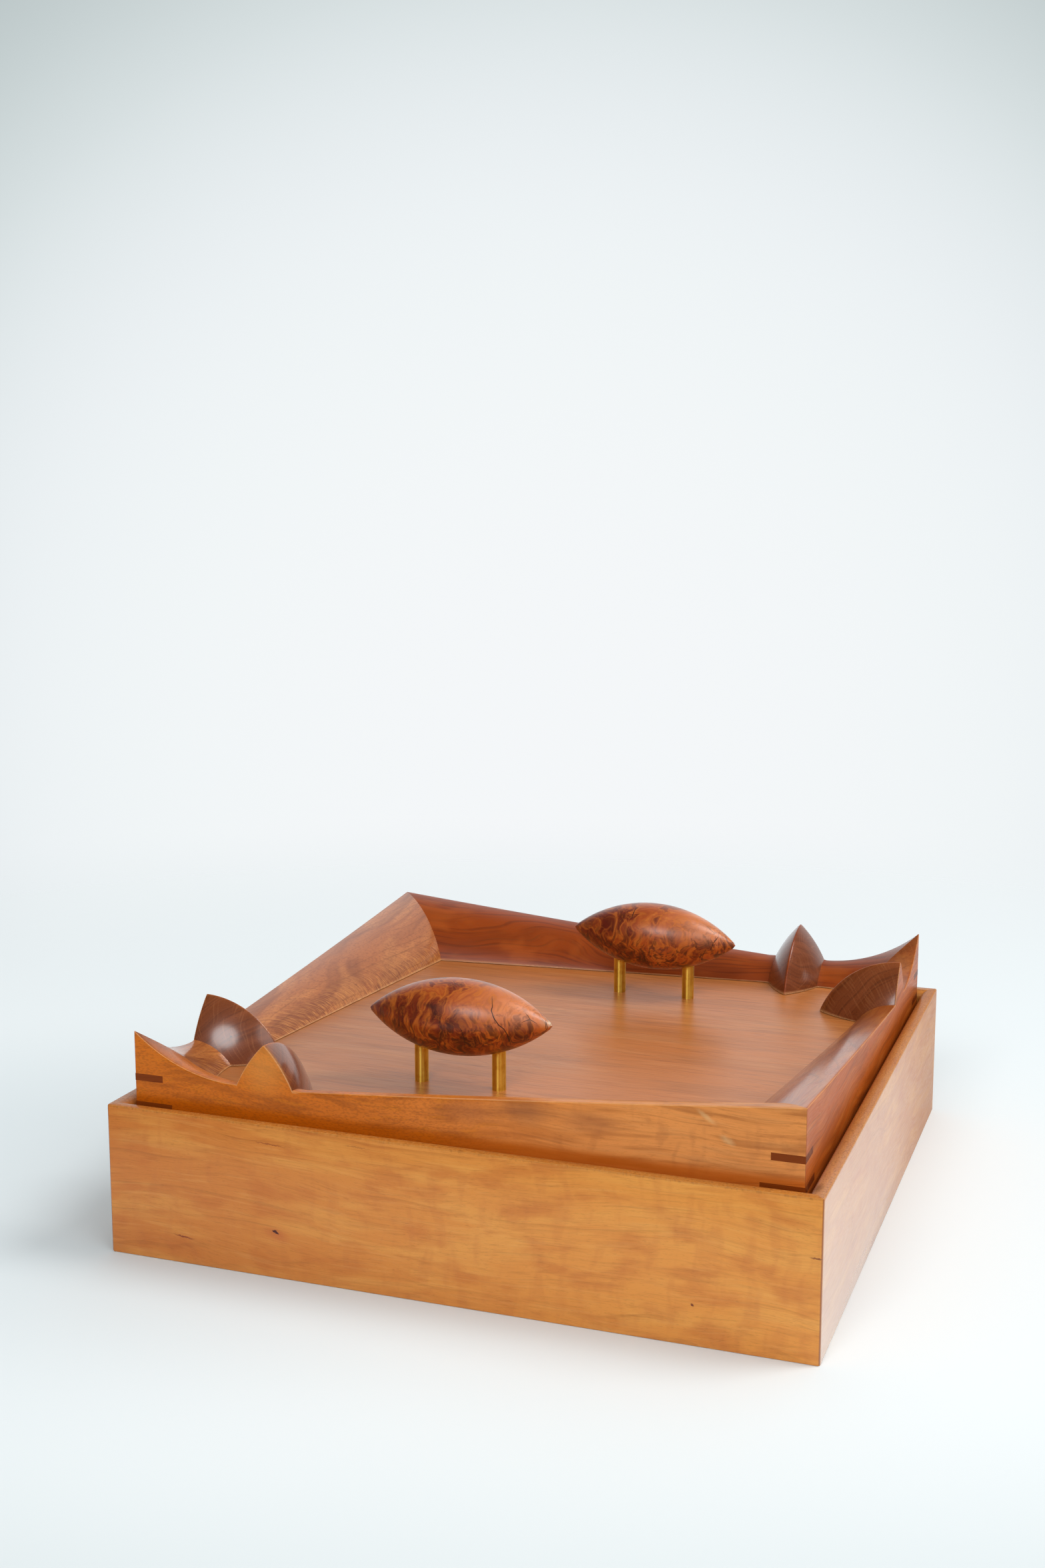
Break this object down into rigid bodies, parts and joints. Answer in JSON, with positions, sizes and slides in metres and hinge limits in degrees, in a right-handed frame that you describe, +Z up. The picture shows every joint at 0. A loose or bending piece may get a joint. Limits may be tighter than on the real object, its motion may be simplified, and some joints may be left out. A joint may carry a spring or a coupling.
{
  "type": "wooden keepsake box",
  "caption": "Square mitred wooden box with a lift-off tray lid framed by the quarters of a turned spindle, its fins and horns rising at two corners, and lens-shaped burl handles on brass rods.",
  "frame": {"origin": "middle of the underside of the box", "axes": "+X to the right along the front, +Y to the back, +Z up along the lid's lift"},
  "size_m": [0.4, 0.4, 0.1508],
  "materials": {
    "cherry": "satin oil",
    "burl": "satin oil",
    "dark_key_wood": "satin oil",
    "brass": "satin"
  },
  "bodies": {
    "base": {"base_wall_front": "cherry", "base_wall_back": "cherry", "base_wall_left": "cherry", "base_wall_right": "cherry", "lid_ledge_front": "cherry", "lid_ledge_back": "cherry", "lid_ledge_left": "cherry", "lid_ledge_right": "cherry", "base_bottom": "cherry"},
    "lid": {"lid_rail_front": "cherry", "lid_rail_back": "cherry", "lid_rail_left": "cherry", "lid_rail_right": "cherry", "lid_panel": "cherry", "lid_key_lower_front_left": "dark_key_wood", "lid_key_lower_back_left": "dark_key_wood", "lid_key_lower_front_right": "dark_key_wood", "lid_key_lower_back_right": "dark_key_wood", "lid_key_upper_front_left": "dark_key_wood", "lid_key_upper_back_left": "dark_key_wood", "lid_key_upper_front_right": "dark_key_wood", "lid_key_upper_back_right": "dark_key_wood", "handle_front": "burl", "handle_back": "burl", "handle_rod_front_left": "brass", "handle_rod_front_right": "brass", "handle_rod_back_left": "brass", "handle_rod_back_right": "brass"}
  },
  "joints": [
    {"name": "lid_lift", "type": "slide", "parent": "base", "child": "lid", "axis": [0, 0, 1], "range_m": [0, 0.12]}
  ]
}
